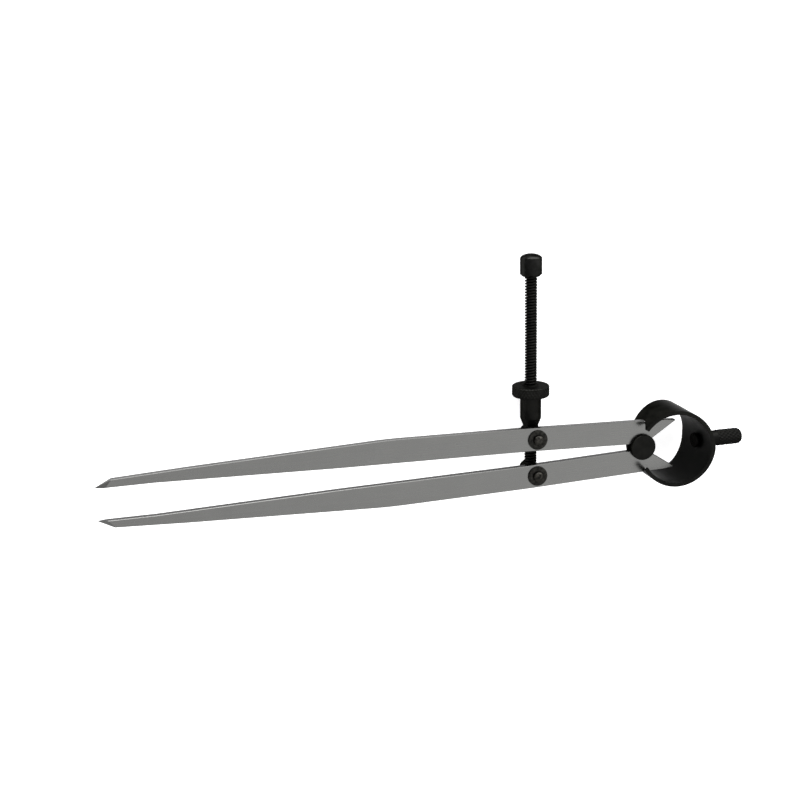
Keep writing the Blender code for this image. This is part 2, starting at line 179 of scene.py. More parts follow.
world = bpy.data.worlds.new("room")
bpy.context.scene.world = world
world.use_nodes = True
tree = world.node_tree
tree.nodes.clear()
path = add_node(tree, "ShaderNodeLightPath")
direction = add_node(tree, "ShaderNodeTexCoord").outputs["Generated"]
toward = add_node(tree, "ShaderNodeSeparateXYZ", Vector=direction)
walls = add_node(
    tree,
    "ShaderNodeMath",
    {"operation": "MULTIPLY_ADD"},
    i0=toward.outputs[0],
    i1=ROOM_SLOPE,
    i2=ROOM_SEEN,
)
lit = add_node(tree, "ShaderNodeMix", i0=path.outputs["Is Diffuse Ray"], i2=walls.outputs[0], i3=ROOM_LIGHT)
sky = add_node(tree, "ShaderNodeBackground", Color=WHITE, Strength=lit.outputs[0])
tree.links.new(sky.outputs[0], add_node(tree, "ShaderNodeOutputWorld").inputs["Surface"])


def soft_box(name, place, aim, width, height, watts):
    """A soft box, lit evenly and turned to face a point."""
    data = bpy.data.lights.new(name, "AREA")
    data.shape = "RECTANGLE"
    data.size = width
    data.size_y = height
    data.energy = watts
    lamp = add_object(name, data)
    direction = Vector(aim) - Vector(place)
    lamp.matrix_world = Matrix.Translation(place) @ direction.to_track_quat("-Z", "Y").to_matrix().to_4x4()


soft_box("high_soft_box", place=(-0.3, 1.2, 1.3), aim=(-0.05, 0.0, 0.0), width=1.0, height=1.0, watts=4.0)
soft_box(
    "long_soft_box",
    place=(0.20, 1.15, 0.34),
    aim=(-0.05, 0.08, 0.0),
    width=2.6,
    height=0.45,
    watts=30.0,
)


# The legs are flat bars of tool steel, ground along their length and left bright, so that they are an even
# soft grey with fine lengthwise lines. Each end is ground to a point from both faces, and the edges are just
# broken.
LEG_GREY = "#868684"
LEG_GREY_DARK = "#797978"
LEG_SLOPE = math.radians(1.68)
GRIND_LENGTH = 0.030
GRIND_SPACING = 0.0006
GRIND_DEPTH = 0.00002
MOTTLE_SIZE = 0.012
LEG_ROUGHNESS = (0.22, 0.32)

# How light each part of a leg is painted, as a share of its flat face: painted shade on its side faces and
# on the faces of the ground points, and a painted tone on the broken edges along the sides, which sets how
# bright their highlight lines are. How far a face's normal leans towards Z says which it is.
INNER_SIDE_SHADE = 0.06
OUTER_SIDE_SHADE = 0.20
BREAK_LEAN = 0.40
INNER_BREAK_PAINT = 0.50
OUTER_BREAK_PAINT = 0.35
POINT_LEAN = 0.90
GROUND_POINT_UPPER_SHADE = 0.68
GROUND_POINT_LOWER_SHADE = 0.88
FLAT_LEAN = 0.99

# The broken edges' painted highlight dims towards the fulcrum: between these places along the leg.
FADE_FROM = -0.20
FADE_TO = -0.05
BREAK_HIGHLIGHT_FADE = 0.35


def ground_steel(name, slope, side):
    """Surface-ground steel: lengthwise grinding lines, which are in truth about 0.1 mm apart and too fine to
    show here, so they are drawn at 0.6 mm, over a faint cloudiness from handling."""
    material, tree, out = new_material(name)
    shape = add_node(tree, "ShaderNodeTexCoord")
    place = shape.outputs["Object"]
    along = add_node(
        tree,
        "ShaderNodeMapping",
        Vector=place,
        Rotation=(0.0, 0.0, slope),
        Scale=(1 / GRIND_LENGTH, 1 / GRIND_SPACING, 1 / GRIND_SPACING),
    )
    lines = add_node(
        tree,
        "ShaderNodeTexNoise",
        Vector=along.outputs[0],
        Scale=1.0,
        Detail=3.0,
        Roughness=0.6,
    )
    cloud = add_node(
        tree,
        "ShaderNodeTexNoise",
        Vector=place,
        Scale=1 / MOTTLE_SIZE,
        Detail=4.0,
        Roughness=0.65,
    )
    blend = add_node(tree, "ShaderNodeMath", {"operation": "ADD"}, i0=lines.outputs[0], i1=cloud.outputs[0])
    share = add_node(tree, "ShaderNodeMath", {"operation": "MULTIPLY"}, i0=blend.outputs[0], i1=0.5)
    colour = add_node(
        tree,
        "ShaderNodeMix",
        {"data_type": "RGBA"},
        i0=share.outputs[0],
        i6=linear(LEG_GREY_DARK),
        i7=linear(LEG_GREY),
    )
    facing = add_node(tree, "ShaderNodeSeparateXYZ", Vector=shape.outputs["Normal"])
    lean = add_node(tree, "ShaderNodeMath", {"operation": "ABSOLUTE"}, i0=facing.outputs[2])
    away = add_node(tree, "ShaderNodeMath", {"operation": "MULTIPLY"}, i0=facing.outputs[1], i1=side)
    outward = add_node(tree, "ShaderNodeMath", {"operation": "GREATER_THAN"}, i0=away.outputs[0], i1=0.0)
    # Painted highlight: the broken edges' tone fades from full towards the fulcrum.
    fade = add_node(
        tree,
        "ShaderNodeMapRange",
        Value=add_node(tree, "ShaderNodeSeparateXYZ", Vector=place).outputs[0],
        From_Min=FADE_FROM,
        From_Max=FADE_TO,
        To_Min=1.0,
        To_Max=BREAK_HIGHLIGHT_FADE,
    )
    # Painted shade and highlight: each part of the leg is toned by the way it faces, not by its finish.
    ground_point_shade = GROUND_POINT_UPPER_SHADE if side > 0 else GROUND_POINT_LOWER_SHADE
    painted_light = None
    for limit, inner_paint, outer_paint in (
        (None, INNER_SIDE_SHADE, OUTER_SIDE_SHADE),
        (BREAK_LEAN, INNER_BREAK_PAINT, OUTER_BREAK_PAINT),
        (POINT_LEAN, ground_point_shade, ground_point_shade),
        (FLAT_LEAN, 1.0, 1.0),
    ):
        band = add_node(
            tree,
            "ShaderNodeMath",
            {"operation": "MULTIPLY_ADD"},
            i0=outward.outputs[0],
            i1=outer_paint - inner_paint,
            i2=inner_paint,
        )
        if limit is None:
            painted_light = band
            continue
        if limit == BREAK_LEAN:
            band = add_node(
                tree,
                "ShaderNodeMath",
                {"operation": "MULTIPLY"},
                i0=band.outputs[0],
                i1=fade.outputs[0],
            )
        above = add_node(tree, "ShaderNodeMath", {"operation": "GREATER_THAN"}, i0=lean.outputs[0], i1=limit)
        painted_light = add_node(tree, "ShaderNodeMix", i0=above.outputs[0], i2=painted_light.outputs[0], i3=band.outputs[0])
    painted_colour = add_node(
        tree,
        "ShaderNodeVectorMath",
        {"operation": "SCALE"},
        i0=colour.outputs[2],
        i3=painted_light.outputs[0],
    )
    rough = add_node(
        tree,
        "ShaderNodeMapRange",
        Value=share.outputs[0],
        From_Min=0.3,
        From_Max=0.7,
        To_Min=LEG_ROUGHNESS[0],
        To_Max=LEG_ROUGHNESS[1],
    )
    bump = add_node(tree, "ShaderNodeBump", Strength=0.25, Distance=GRIND_DEPTH, Height=lines.outputs[0])
    steel = add_node(
        tree,
        "ShaderNodeBsdfPrincipled",
        Base_Color=painted_colour.outputs[0],
        Metallic=1.0,
        Roughness=rough.outputs[0],
        Normal=bump.outputs[0],
    )
    tree.links.new(steel.outputs[0], out.inputs["Surface"])
    return material


for name, side in (("leg_upper", 1), ("leg_lower", -1)):
    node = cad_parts[name]
    node.data.materials.clear()
    node.data.materials.append(ground_steel(f"ground_steel_{name}", side * LEG_SLOPE, side))


# The fulcrum roller is turned from round bar, with a waist that sits in the legs' half-round notches and a
# flange over each face. It is blackened, as all the parts are but the legs, which leaves a dark satin skin.
BLACK = "#191918"
BLACK_WORN = "#232321"
BLACK_EDGE = "#aeaeae"
GRAIN_DEPTH = 0.00003
LEG_PLANE = -0.00395
TURN_STEPS = 96
TINY = 1e-6
CORNER_SHARE = 0.45


def blackened_steel(name, worn, roughness, grain, patch=0.006, groove_shade=None, ring=None):
    """Steel blackened in a hot salt bath: nearly black with a satin sheen, slightly uneven in patches where
    it has been handled, over the grain that turning or rolling left. A groove is painted darker towards its
    root, as painted shade. A ring has one sheen inside and one outside, and its inside is painted darker by
    a share, as painted shade."""
    material, tree, out = new_material(name)
    shape = add_node(tree, "ShaderNodeTexCoord")
    place = shape.outputs["Object"]
    cloud = add_node(tree, "ShaderNodeTexNoise", Vector=place, Scale=1 / patch, Detail=5.0, Roughness=0.6)
    fine = add_node(tree, "ShaderNodeTexNoise", Vector=place, Scale=1 / grain, Detail=2.0, Roughness=0.5)
    share = add_node(tree, "ShaderNodeMapRange", Value=cloud.outputs[0], From_Min=0.35, From_Max=0.70)
    colour = add_node(
        tree,
        "ShaderNodeMix",
        {"data_type": "RGBA"},
        i0=share.outputs[0],
        i6=linear(BLACK),
        i7=linear(worn),
    )
    skin = colour.outputs[2]
    edge = linear(BLACK_EDGE)
    # Painted shade: a groove's colour is painted darker towards its root.
    if groove_shade:
        axis, outer, root, root_shade = groove_shade
        off_axis = add_node(tree, "ShaderNodeVectorMath", {"operation": "SUBTRACT"}, i0=place, i1=axis)
        flattened = add_node(
            tree,
            "ShaderNodeVectorMath",
            {"operation": "MULTIPLY"},
            i0=off_axis.outputs[0],
            i1=(1.0, 0.0, 1.0),
        )
        radius = add_node(tree, "ShaderNodeVectorMath", {"operation": "LENGTH"}, i0=flattened.outputs[0])
        height = add_node(
            tree,
            "ShaderNodeMapRange",
            Value=radius.outputs["Value"],
            From_Min=root,
            From_Max=outer,
            To_Min=root_shade,
            To_Max=1.0,
        )
        root_shaded = add_node(
            tree,
            "ShaderNodeVectorMath",
            {"operation": "SCALE"},
            i0=skin,
            i3=height.outputs[0],
        )
        skin = root_shaded.outputs[0]
    # Painted shade: a ring's inside is painted darker by a share, and it gets its own edge tint.
    if ring:
        centre, inside_edge, outside_edge, inside_shade = ring
        off_centre = add_node(tree, "ShaderNodeVectorMath", {"operation": "SUBTRACT"}, i0=place, i1=centre)
        facing = add_node(
            tree,
            "ShaderNodeVectorMath",
            {"operation": "DOT_PRODUCT"},
            i0=off_centre.outputs[0],
            i1=shape.outputs["Normal"],
        )
        outward = add_node(
            tree,
            "ShaderNodeMath",
            {"operation": "GREATER_THAN"},
            i0=facing.outputs["Value"],
            i1=0.0,
        )
        sheen = add_node(
            tree,
            "ShaderNodeMix",
            {"data_type": "RGBA"},
            i0=outward.outputs[0],
            i6=linear(inside_edge),
            i7=linear(outside_edge),
        )
        edge = sheen.outputs[2]
        painted_light = add_node(
            tree,
            "ShaderNodeMath",
            {"operation": "MULTIPLY_ADD"},
            i0=outward.outputs[0],
            i1=1.0 - inside_shade,
            i2=inside_shade,
        )
        inside_shaded = add_node(
            tree,
            "ShaderNodeVectorMath",
            {"operation": "SCALE"},
            i0=skin,
            i3=painted_light.outputs[0],
        )
        skin = inside_shaded.outputs[0]
    rough = add_node(
        tree,
        "ShaderNodeMapRange",
        Value=cloud.outputs[0],
        From_Min=0.3,
        From_Max=0.7,
        To_Min=roughness,
        To_Max=roughness + 0.1,
    )
    bump = add_node(tree, "ShaderNodeBump", Strength=0.2, Distance=GRAIN_DEPTH, Height=fine.outputs[0])
    steel = add_node(
        tree,
        "ShaderNodeBsdfPrincipled",
        Base_Color=skin,
        Metallic=1.0,
        Roughness=rough.outputs[0],
        Specular_Tint=edge,
        Normal=bump.outputs[0],
    )
    tree.links.new(steel.outputs[0], out.inputs["Surface"])
    return material


def softened(profile, radius, steps=3):
    """A profile of (radius, height) points with its sharp corners rounded by up to this radius, and by less
    where two corners are close together."""
    points = [Vector(p) for p in profile]
    result = [points[0]]
    for before, corner, after in zip(points, points[1:], points[2:]):
        to_before, to_after = before - corner, after - corner
        reach = min(radius, to_before.length * CORNER_SHARE, to_after.length * CORNER_SHARE)
        first, last = corner + to_before.normalized() * reach, corner + to_after.normalized() * reach
        for i in range(steps + 1):
            share = i / steps
            result.append(first.lerp(corner, share).lerp(corner.lerp(last, share), share))
    return result + [points[-1]]


def to_mesh(name, solid):
    """The mesh of a bmesh, which is freed."""
    mesh = bpy.data.meshes.new(name)
    solid.to_mesh(mesh)
    solid.free()
    return mesh


def lathe(name, profile, steps=TURN_STEPS, loop=False):
    """A closed mesh turned about Z from (radius, height) points. They run from the top of the axis to its
    foot, or in a closed loop, down its outer side first."""
    solid = bmesh.new()
    angles = [2 * math.pi * i / steps for i in range(steps)]
    rings = []
    for radius, height in profile:
        if radius < TINY:
            circle = [(0.0, 0.0, height)]
        else:
            circle = [(radius * math.cos(a), radius * math.sin(a), height) for a in angles]
        rings.append([solid.verts.new(point) for point in circle])
    for above, below in zip(rings, rings[1:] + (rings[:1] if loop else [])):
        for i in range(steps):
            j = (i + 1) % steps
            if len(above) == 1:
                solid.faces.new((above[0], below[i], below[j]))
            elif len(below) == 1:
                solid.faces.new((above[j], above[i], below[0]))
            else:
                solid.faces.new((above[j], above[i], below[i], below[j]))
    return to_mesh(name, solid)


def finish_piece(name, mesh, material, body, *nodes, place=None, crease=35):
    """Places a mesh, gives it its material and smooth shading, and puts it on its body in place of CAD
    nodes."""
    if place:
        mesh.transform(place)
    mesh.materials.clear()
    mesh.materials.append(material)
    mesh.shade_smooth()
    mesh.set_sharp_from_angle(angle=math.radians(crease))
    obj = add_object(name, mesh)
    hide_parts(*nodes)
    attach(obj, body)
    return obj


ROLLER_FLANGE = 0.0020
ROLLER_ROUNDING = 0.00045
WAIST_RADIUS = 0.0040

black_turned = blackened_steel("blackened_turned_steel", BLACK_WORN, roughness=0.38, grain=0.0005)
roller_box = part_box("fulcrum_roller")
roller_radius = (roller_box[1].x - roller_box[0].x) / 2
top = -LEG_PLANE
flange_foot = top - ROLLER_FLANGE
half_profile = [(roller_radius, top), (roller_radius, flange_foot), (WAIST_RADIUS, flange_foot)]
roller_profile = [(0.0, top)] + half_profile + [(r, -z) for r, z in reversed(half_profile)] + [(0.0, -top)]
finish_piece(
    "fulcrum_roller_turned",
    lathe("fulcrum_roller_turned", softened(roller_profile, ROLLER_ROUNDING)),
    black_turned,
    "fulcrum",
    "fulcrum_roller",
    place=Matrix.Translation((0.0, 0.0, LEG_PLANE)),
)


# The bow is one band of spring steel, blanked wide at the handle and narrow at both ends, bent to an open
# oval and hardened. Its forked ends straddle the legs and bear in their notches. The rolled faces are a
# smooth satin black. The inside is painted darker, as painted shade inside the ring, and has a paler edge
# tint, so that it shines more at a glancing angle.
BOW_CENTRE = 0.0164
BOW_HALF_LENGTH = 0.0206
BOW_HALF_BREADTH = 0.0222
BOW_THICKNESS = 0.0022
BOW_HALF_WIDTH = 0.0181
BOW_END_HALF_WIDTH = 0.0083
BOW_WIDTH_POWER = 1.17
BOW_END = math.radians(148)
SLOT_START = math.radians(137)
SLOT_HALF_WIDTH = 0.00205
MOUTH_RADIUS = 0.0092
MOUTH_BEYOND = 0.0058
TENON_HOLE = 0.00265
BOW_ROWS = 296
BOW_COLUMNS = 12
# The inside's edge tint, then its painted shade as a share of the outside's colour, then the outside's edge
# tint.
BOW_INSIDE_EDGE = "#d6d6d6"
BOW_INSIDE_PAINTED_SHADE = 0.40
BOW_OUTSIDE_EDGE = "#b0b0b0"
QUARTER = math.pi / 2


def bow_point(angle, off=0.0):
    """A point of the bow's oval at this angle from the handle, off its middle surface by so much."""
    return Vector(
        (
            BOW_CENTRE + (BOW_HALF_LENGTH - BOW_THICKNESS / 2 + off) * math.cos(angle),
            (BOW_HALF_BREADTH - BOW_THICKNESS / 2 + off) * math.sin(angle),
        )
    )


bow = bmesh.new()
sheets = []
for off in (BOW_THICKNESS / 2, -BOW_THICKNESS / 2):
    rows = []
    for i in range(BOW_ROWS + 1):
        angle = BOW_END * (2 * i / BOW_ROWS - 1)
        share = (abs(angle) / BOW_END) ** BOW_WIDTH_POWER
        half_width = BOW_HALF_WIDTH - (BOW_HALF_WIDTH - BOW_END_HALF_WIDTH) * share
        x, y = bow_point(angle, off)
        heights = [half_width * (2 * j / BOW_COLUMNS - 1) for j in range(BOW_COLUMNS + 1)]
        rows.append([bow.verts.new((x, y, z)) for z in heights])
    sheets.append(rows)
outer, inner = sheets
for i in range(BOW_ROWS):
    for j in range(BOW_COLUMNS):
        bow.faces.new((outer[i][j], outer[i + 1][j], outer[i + 1][j + 1], outer[i][j + 1]))
        bow.faces.new((inner[i][j + 1], inner[i + 1][j + 1], inner[i + 1][j], inner[i][j]))
    for j, turned_over in ((0, False), (BOW_COLUMNS, True)):
        corners = (outer[i][j], inner[i][j], inner[i + 1][j], outer[i + 1][j])
        bow.faces.new(corners[::-1] if turned_over else corners)
for i, turned_over in ((0, True), (BOW_ROWS, False)):
    for j in range(BOW_COLUMNS):
        corners = (outer[i][j], inner[i][j], inner[i][j + 1], outer[i][j + 1])
        bow.faces.new(corners[::-1] if turned_over else corners)
bmesh.ops.recalc_face_normals(bow, faces=bow.faces)
bow_mesh = to_mesh("bow_spring_band", bow)


def boolean_cut(mesh, *cutters):
    """The mesh with cutter meshes taken out of it, each cutter removed once it has been used."""
    body = add_object("cut_body", mesh)
    helpers = [add_object("cut_helper", cutter) for cutter in cutters]
    for helper in helpers:
        boolean = body.modifiers.new("cut", "BOOLEAN")
        boolean.operation = "DIFFERENCE"
        boolean.object = helper
    graph = bpy.context.evaluated_depsgraph_get()
    result = bpy.data.meshes.new_from_object(body.evaluated_get(graph))
    for leftover in [body] + helpers:
        bpy.data.objects.remove(leftover)
    result.name = mesh.name
    return result


def rod(radius, length, place):
    """A plain rod about Z, centred, then put in place."""
    mesh = lathe("rod", [(0.0, length / 2), (radius, length / 2), (radius, -length / 2), (0.0, -length / 2)])
    mesh.transform(place)
    return mesh


def block(size, place):
    """A plain block, centred, then put in place."""
    solid = bmesh.new()
    bmesh.ops.create_cube(solid, size=1.0, matrix=Matrix.Diagonal((*size, 1.0)))
    mesh = to_mesh("block", solid)
    mesh.transform(place)
    return mesh


through_bow = 4 * BOW_THICKNESS
slot_length = through_bow + BOW_HALF_BREADTH * (BOW_END - SLOT_START)
tenon_place = Matrix.Translation((*bow_point(0.0), 0.0)) @ Matrix.Rotation(QUARTER, 4, "Y")
cutters = [rod(TENON_HOLE, through_bow, tenon_place)]
for side in (1, -1):
    for angle, beyond, kind in ((SLOT_START, slot_length / 2, "slot"), (BOW_END, MOUTH_BEYOND, "mouth")):
        step = math.radians(0.5)
        along = (bow_point(angle + step) - bow_point(angle - step)).normalized()
        middle = bow_point(angle) + along * beyond
        heading = Matrix.Rotation(math.atan2(side * along.y, along.x), 4, "Z")
        place = Matrix.Translation((middle.x, side * middle.y, 0.0)) @ heading
        if kind == "slot":
            cutters.append(block((slot_length, 3 * BOW_THICKNESS, 2 * SLOT_HALF_WIDTH), place))
        else:
            cutters.append(rod(MOUTH_RADIUS, through_bow, place @ Matrix.Rotation(QUARTER, 4, "X")))
bow_mesh = boolean_cut(bow_mesh, *cutters)
black_spring = blackened_steel(
    "blackened_spring_steel",
    BLACK_WORN,
    roughness=0.30,
    grain=0.0008,
    ring=((BOW_CENTRE, 0.0, LEG_PLANE), BOW_INSIDE_EDGE, BOW_OUTSIDE_EDGE, BOW_INSIDE_PAINTED_SHADE),
)
bow_piece = finish_piece(
    "bow_spring_band",
    bow_mesh,
    black_spring,
    "handle",
    "bow_spring",
    place=Matrix.Translation((0.0, 0.0, LEG_PLANE)),
    crease=40,
)
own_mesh(bow_piece)


# The handle is turned from bar: a smooth shoulder against the bow, then a grip with a coarse diamond knurl
# rolled over it and its rounded end. Its tenon goes through the bow and is riveted over inside.
SHOULDER_RADIUS = 0.0044
SHOULDER_LENGTH = 0.0130
GRIP_RADIUS = 0.00455
GRIP_LENGTH = 0.0121
GRIP_STEP = 0.0001
GRIP_END_RADIUS = 0.0030
GRIP_END_STEPS = 16
TENON_RADIUS = 0.0025
RIVET_RADIUS = 0.0043
RIVET_HEIGHT = 0.0017
BOW_GAP = 0.0002
HANDLE_ROUNDING = 0.0005
BLACK_RUBBED = "#1a1a19"

# The size of the knurl's diamonds, the share of their depth that stands above the turned surface, and how far
# the knurl runs on over the shoulder and past the grip's end. It fades out towards the middle of that end.
KNURL_AROUND = 0.0018
KNURL_ALONG = 0.0029
KNURL_DEPTH = 0.00048
KNURL_RAISE = 0.35
KNURL_RUN_ON = 0.0034
KNURL_PAST_END = 0.001
KNURL_CLEAR_SHARE = 0.45
KNURL_CREST_SLOPE = 1.15
KNURL_EDGE = 0.0002
KNURL_ROWS = 10
HANDLE_STEPS_PER_TOOTH = 8

# Each sum is a name for its result, an operation, and what it works on: numbers, the tree's inputs or
# earlier results. The first ones give a point's place round the axis and its radius, the knurl's give how
# far it sinks, and the last ones move it towards the axis by that "sink".
PLACE_SUMS = (
    ("angle", "ARCTAN2", "y", "x"),
    ("turns", "DIVIDE", "angle", 2 * math.pi),
    ("x squared", "MULTIPLY", "x", "x"),
    ("both squared", "MULTIPLY_ADD", "y", "y", "x squared"),
    ("radius", "SQRT", "both squared"),
)
KNURL_SUMS = (
    ("around", "MULTIPLY", "turns", "Teeth"),
    ("along", "DIVIDE", "z", "Along"),
    ("right-hand way", "ADD", "along", "around"),
    ("left-hand way", "SUBTRACT", "along", "around"),
    ("right-hand ridge", "PINGPONG", "right-hand way", 0.5),
    ("left-hand ridge", "PINGPONG", "left-hand way", 0.5),
    ("lower ridge", "MINIMUM", "right-hand ridge", "left-hand ridge"),
    ("diamond", "MULTIPLY", "lower ridge", 2 * KNURL_CREST_SLOPE),
    ("crest", "MINIMUM", "diamond", 1.0),
    ("after start", "SUBTRACT", "z", "From"),
    ("before end", "SUBTRACT", "To", "z"),
    ("outside", "SUBTRACT", "radius", "Inside"),
    ("from ends", "MINIMUM", "after start", "before end"),
    ("from edges", "MINIMUM", "from ends", "outside"),
    ("rise", "DIVIDE", "from edges", KNURL_EDGE),
    ("no more than all", "MINIMUM", "rise", 1.0),
    ("mask", "MAXIMUM", "no more than all", 0.0),
    ("turned surface", "SUBTRACT", 1.0, "Raise"),
    ("below", "SUBTRACT", "turned surface", "crest"),
    ("pressed", "MULTIPLY", "below", "mask"),
    ("sink", "MULTIPLY", "pressed", "Depth"),
)
MOVE_SUMS = (
    ("safe radius", "MAXIMUM", "radius", TINY),
    ("lost", "DIVIDE", "sink", "safe radius"),
    ("kept", "SUBTRACT", 1.0, "lost"),
    ("new x", "MULTIPLY", "x", "kept"),
    ("new y", "MULTIPLY", "y", "kept"),
)


def pressing_tree(name, sizes, sums):
    """Geometry Nodes: presses the surface of a piece turned about Z towards its axis, or raises it. Its
    inputs are the sizes, with the values that they start from, and the material."""
    tree = bpy.data.node_groups.new(name, "GeometryNodeTree")
    face = tree.interface
    face.new_socket("Geometry", in_out="INPUT", socket_type="NodeSocketGeometry")
    for size, start in sizes.items():
        face.new_socket(size, in_out="INPUT", socket_type="NodeSocketFloat").default_value = start
    face.new_socket("Material", in_out="INPUT", socket_type="NodeSocketMaterial")
    face.new_socket("Geometry", in_out="OUTPUT", socket_type="NodeSocketGeometry")
    given = add_node(tree, "NodeGroupInput").outputs
    position = add_node(tree, "GeometryNodeInputPosition").outputs[0]
    known = dict(zip("xyz", add_node(tree, "ShaderNodeSeparateXYZ", Vector=position).outputs))
    known.update((size, given[size]) for size in sizes)
    for result, operation, *terms in PLACE_SUMS + sums + MOVE_SUMS:
        inputs = {f"i{k}": known.get(term, term) for k, term in enumerate(terms)}
        known[result] = add_node(tree, "ShaderNodeMath", {"operation": operation}, **inputs).outputs[0]
    moved = add_node(tree, "ShaderNodeCombineXYZ", X=known["new x"], Y=known["new y"], Z=known["z"])
    pressed = add_node(tree, "GeometryNodeSetPosition", Geometry=given["Geometry"], Position=moved.outputs[0])
    real = add_node(tree, "GeometryNodeRealizeInstances", Geometry=pressed.outputs[0])
    painted = add_node(tree, "GeometryNodeSetMaterial", Geometry=real.outputs[0], Material=given["Material"])
    tree.links.new(painted.outputs[0], add_node(tree, "NodeGroupOutput").inputs[0])
    return tree


def worked(mesh, tree, **values):
    """The mesh after a Geometry Nodes tree has worked on it with these inputs."""
    blank = add_object("blank", mesh)
    step = blank.modifiers.new("work", "NODES")
    step.node_group = tree
    for item in tree.interface.items_tree:
        if item.in_out == "INPUT" and item.name in values:
            step[item.identifier] = values[item.name]
    graph = bpy.context.evaluated_depsgraph_get()
    result = bpy.data.meshes.new_from_object(blank.evaluated_get(graph))
    bpy.data.objects.remove(blank)
    result.name = mesh.name
    return result


def filled(profile, low, high, step):
    """A profile with extra points along its straight runs between two heights, for a pattern to bend."""
    low, high = low - TINY, high + TINY
    result = [Vector(profile[0])]
    for start, end in zip(profile, profile[1:]):
        start, end = Vector(start), Vector(end)
        inside = low <= min(start.y, end.y) and max(start.y, end.y) <= high
        count = max(1, math.ceil((end - start).length / step)) if inside and start.x > 0 and end.x > 0 else 1
        result += [start.lerp(end, i / count) for i in range(1, count + 1)]
    return result


knurl = pressing_tree(
    "diamond_knurl",
    {
        "Teeth": 24.0,
        "Along": KNURL_ALONG,
        "Depth": KNURL_DEPTH,
        "Raise": 0.0,
        "From": 0.0,
        "To": GRIP_LENGTH,
        "Inside": 0.0,
    },
    KNURL_SUMS,
)
black_knurled = blackened_steel("blackened_knurled_steel", BLACK_RUBBED, roughness=0.50, grain=0.0004)
inner_half_length = BOW_HALF_LENGTH - BOW_THICKNESS
inner_half_breadth = BOW_HALF_BREADTH - BOW_THICKNESS
rivet_seat = BOW_HALF_LENGTH - inner_half_length * math.sqrt(1 - (RIVET_RADIUS / inner_half_breadth) ** 2)
rivet_face = -rivet_seat - BOW_GAP
grip_start = SHOULDER_LENGTH + BOW_GAP - KNURL_RUN_ON
grip_end = SHOULDER_LENGTH + BOW_GAP + GRIP_LENGTH
end_angles = [QUARTER * (1 - i / GRIP_END_STEPS) for i in range(GRIP_END_STEPS + 1)]
rounded_end = [
    (GRIP_RADIUS - GRIP_END_RADIUS * (1 - math.cos(a)), grip_end - GRIP_END_RADIUS * (1 - math.sin(a)))
    for a in end_angles
]
shank = [
    (GRIP_RADIUS, grip_start),
    (SHOULDER_RADIUS, grip_start - GRIP_STEP),
    (SHOULDER_RADIUS, BOW_GAP),
    (TENON_RADIUS, BOW_GAP),
    (TENON_RADIUS, rivet_face),
    (RIVET_RADIUS, rivet_face),
    (RIVET_RADIUS, rivet_face - RIVET_HEIGHT),
    (0.0, rivet_face - RIVET_HEIGHT),
]
handle_profile = [(0.0, grip_end)] + rounded_end + softened(shank, HANDLE_ROUNDING)
teeth = round(2 * math.pi * GRIP_RADIUS / KNURL_AROUND)
handle_profile = filled(handle_profile, grip_start, grip_end, KNURL_ALONG / KNURL_ROWS)
handle_mesh = worked(
    lathe("handle_knurled", handle_profile, teeth * HANDLE_STEPS_PER_TOOTH),
    knurl,
    Teeth=float(teeth),
    Raise=KNURL_RAISE,
    From=grip_start,
    To=grip_end + KNURL_PAST_END,
    Inside=GRIP_RADIUS * KNURL_CLEAR_SHARE,
    Material=black_knurled,
)
handle_seat = Matrix.Translation((BOW_CENTRE + BOW_HALF_LENGTH, 0.0, LEG_PLANE))
finish_piece(
    "handle_knurled",
    handle_mesh,
    black_knurled,
    "handle",
    "handle",
    place=handle_seat @ Matrix.Rotation(QUARTER, 4, "Y"),
    crease=50,
)


# Each swivel post is turned, with a neck that passes through its leg and a washer and is riveted over on
# top. The screw runs across both posts. The upper one has a flat where the nut bears on it.
POST_RADIUS = 0.0054
POST_LENGTH = 0.0123
POST_CHAMFER = 0.0005
POST_ROUNDING = 0.0003
LEG_THICKNESS = 0.0035
LEG_GAP = 0.0002
NECK_RADIUS = 0.0023
NECK_HEAD_RADIUS = 0.0028
NECK_HEAD_HEIGHT = 0.0022
HEAD_CROWN = 0.0002
HEAD_SHOULDER = 0.0009
HEAD_SHOULDER_IN = 0.0003
HEAD_SIDE = 0.0014
HEAD_MARGIN = 0.0001
NUT_SEAT = 0.0044
NUT_FLAT_HEIGHT = 0.0090
WASHER_RADIUS = 0.0055
WASHER_THICKNESS = 0.0008
WASHER_ROUNDING = 0.00018
RUNNING_GAP = 0.00015
SWIVEL_GAP = 0.00035
SCREW_DEPTH = 0.00957
SCREW_RADIUS = 0.0034
RUBBED = "#383734"
RUBBED_PIN = "#45433f"

post_top = -LEG_THICKNESS / 2 - LEG_GAP
post_foot = post_top - POST_LENGTH
washer_low = LEG_THICKNESS / 2 + RUNNING_GAP
washer_high = washer_low + WASHER_THICKNESS
head_low = washer_high + RUNNING_GAP
head_high = head_low + NECK_HEAD_HEIGHT
post_profile = [
    (0.0, head_high),
    (NECK_HEAD_RADIUS / 2, head_high - HEAD_CROWN),
    (NECK_HEAD_RADIUS - HEAD_SHOULDER_IN, head_high - HEAD_SHOULDER),
    (NECK_HEAD_RADIUS, head_high - HEAD_SIDE),
    (NECK_HEAD_RADIUS, head_low),
    (NECK_RADIUS, head_low),
    (NECK_RADIUS, post_top),
    (POST_RADIUS, post_top),
    (POST_RADIUS, post_foot + POST_CHAMFER),
    (POST_RADIUS - POST_CHAMFER, post_foot),
    (0.0, post_foot),
]
washer_hole = NECK_RADIUS + RUNNING_GAP
washer_loop = [
    (washer_hole, washer_high),
    (WASHER_RADIUS, washer_high),
    (WASHER_RADIUS, washer_low),
    (washer_hole, washer_low),
]
washer_profile = softened(washer_loop + washer_loop[:2], WASHER_ROUNDING)[1:-1]
